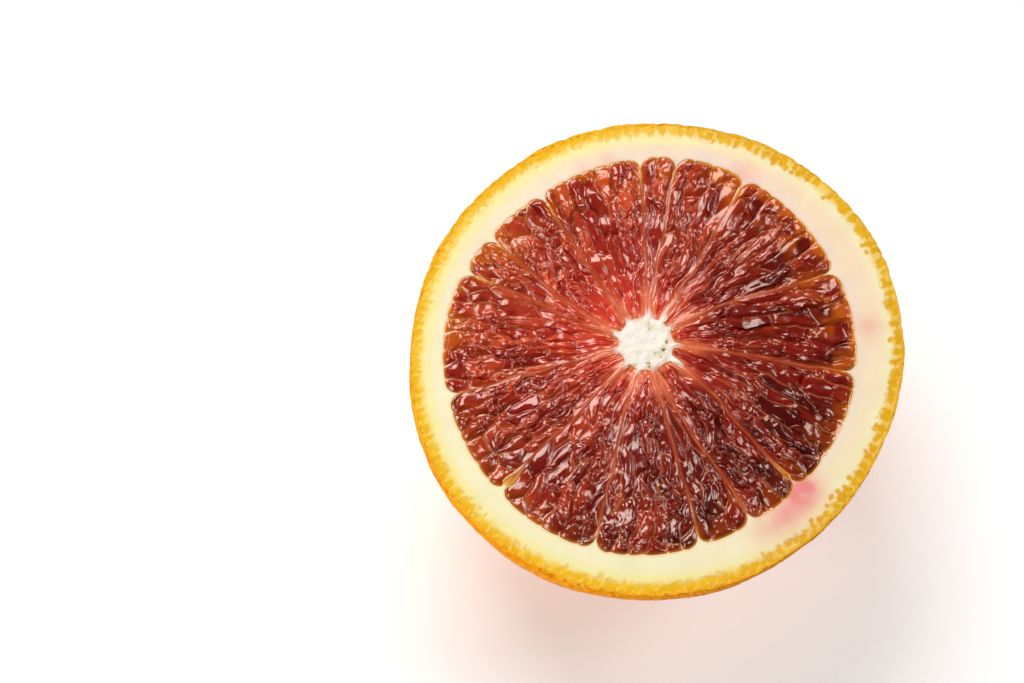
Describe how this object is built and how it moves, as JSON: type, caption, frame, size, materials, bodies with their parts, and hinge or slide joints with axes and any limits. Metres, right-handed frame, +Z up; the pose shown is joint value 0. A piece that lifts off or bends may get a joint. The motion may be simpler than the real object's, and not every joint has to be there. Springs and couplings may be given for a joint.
{
  "type": "blood orange half",
  "caption": "Half of a blood orange, a dome of peel lying with its flat cut face up, showing pith, white core and wedges of dark red pulp.",
  "frame": {"origin": "middle of the small flat that the half rests on, at the blossom end", "axes": "+Z up, along the fruit's own axis from the blossom end to the cut face; +Y is the top of the cut face as shown"},
  "size_m": [0.0728, 0.0718, 0.0354],
  "materials": {
    "peel": "waxy orange peel with fine oil-gland pits",
    "pith": "matt, damp, cream-white pith and membranes",
    "pulp": "wet, dark red juice sacs"
  },
  "bodies": {
    "root": {"fruit_half": "peel", "pulp_segment_01": "pulp", "pulp_segment_02": "pulp", "pulp_segment_03": "pulp", "pulp_segment_04": "pulp", "pulp_segment_05": "pulp", "pulp_segment_06": "pulp", "pulp_segment_07": "pulp", "pulp_segment_08": "pulp", "pulp_segment_09": "pulp", "pulp_segment_10": "pulp", "pulp_segment_11": "pulp", "pulp_segment_12": "pulp", "pulp_segment_13": "pulp", "pulp_segment_14": "pulp"}
  },
  "joints": []
}
